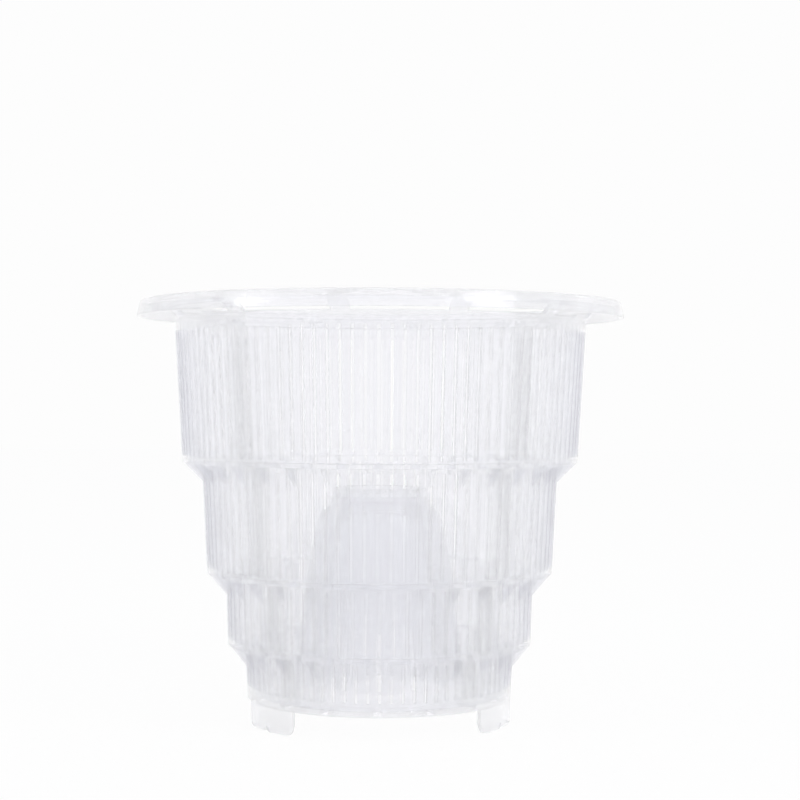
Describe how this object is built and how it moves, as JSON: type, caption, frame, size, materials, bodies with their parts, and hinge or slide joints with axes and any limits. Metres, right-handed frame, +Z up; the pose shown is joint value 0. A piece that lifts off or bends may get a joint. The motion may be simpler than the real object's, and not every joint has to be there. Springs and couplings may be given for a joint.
{
  "type": "hydroponic net pot",
  "caption": "Clear stepped net pot with slotted walls, finned ledges, a wide turned-down brim, a raised air cone inside and short two-lobed feet.",
  "frame": {"origin": "middle of the plane that the feet stand on", "axes": "+Z up along the pot's axis, -Y towards the front, +X to its right as seen from the front"},
  "size_m": [0.16, 0.16, 0.1372],
  "materials": {
    "clear_polypropylene": "clear moulded polypropylene, slightly milky, smooth and glossy"
  },
  "bodies": {
    "root": {"net_pot": "clear_polypropylene"}
  },
  "joints": []
}
